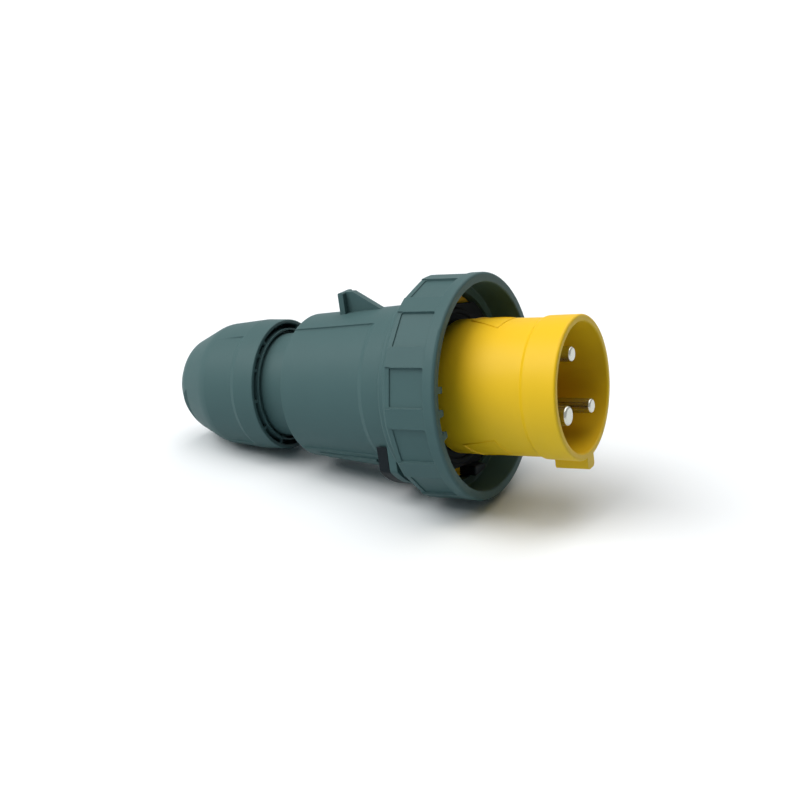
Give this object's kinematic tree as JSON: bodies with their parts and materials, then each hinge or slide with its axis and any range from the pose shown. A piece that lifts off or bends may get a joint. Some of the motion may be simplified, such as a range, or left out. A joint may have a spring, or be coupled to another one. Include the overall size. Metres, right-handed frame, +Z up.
{
  "type": "industrial plug",
  "caption": "Round pin-and-sleeve power plug with a coloured collar, locking ring, tapered grip housing and screw cable gland.",
  "frame": {"origin": "centre of the collar's mouth, on the plug's axis", "axes": "+X forward out of the mouth and +Z up; the plug lies on its ring and gland nut, so its own axis rises forward in the XZ plane by about 10.4 degrees; the key is at the bottom, the fin on top"},
  "size_m": [0.1953, 0.0932, 0.095],
  "materials": {
    "yellow_plastic": "satin moulded",
    "grey_plastic": "fine satin moulded",
    "black_plastic": "satin moulded",
    "black_rubber": "matt",
    "grey_rubber": "matt",
    "nickel_plated_brass": "bright nickel plate",
    "zinc_steel": "zinc plated",
    "spring_steel": "drawn wire",
    "natural_nylon": "natural moulded"
  },
  "bodies": {
    "housing": {"shroud": "yellow_plastic", "earth_pin": "nickel_plated_brass", "line_pin": "nickel_plated_brass", "neutral_pin": "nickel_plated_brass", "terminal_screws": "zinc_steel", "contact_carrier": "black_plastic", "retaining_plate": "black_plastic", "carrier_screws": "zinc_steel", "face_seal": "black_rubber", "ring_stop": "black_plastic", "corner_seal": "black_rubber", "rear_housing": "grey_plastic", "slide_spring": "spring_steel", "clamping_cage": "natural_nylon", "sealing_grommet": "grey_rubber", "grommet_insert": "grey_rubber"},
    "locking_ring": {"locking_ring": "grey_plastic"},
    "locking_slide": {"locking_slide": "black_plastic"},
    "thrust_washer": {"thrust_washer": "natural_nylon"},
    "gland_nut": {"gland_nut": "grey_plastic"}
  },
  "joints": [
    {"name": "ring_turn", "type": "hinge", "parent": "housing", "child": "locking_ring", "pos_m": [0, 0, 0], "axis": [0.9836, 0, 0.1801], "range_deg": [0, 50]},
    {"name": "slide_release", "type": "slide", "parent": "housing", "child": "locking_slide", "axis": [-0.9836, 0, -0.1801], "range_m": [0, 0.004], "stiffness_N_per_m": 300, "springref_m": -0.004, "deforming": ["slide_spring"]},
    {"name": "nut_travel", "type": "slide", "parent": "housing", "child": "thrust_washer", "axis": [0.9836, 0, 0.1801], "range_m": [0, 0.01]},
    {"name": "nut_turn", "type": "hinge", "parent": "thrust_washer", "child": "gland_nut", "pos_m": [0, 0, 0], "axis": [0.9836, 0, 0.1801], "range_deg": [0, 720]}
  ],
  "couplings": [
    {"joint": "nut_travel", "follows": "nut_turn", "m_per_rad": 0.00079498}
  ]
}
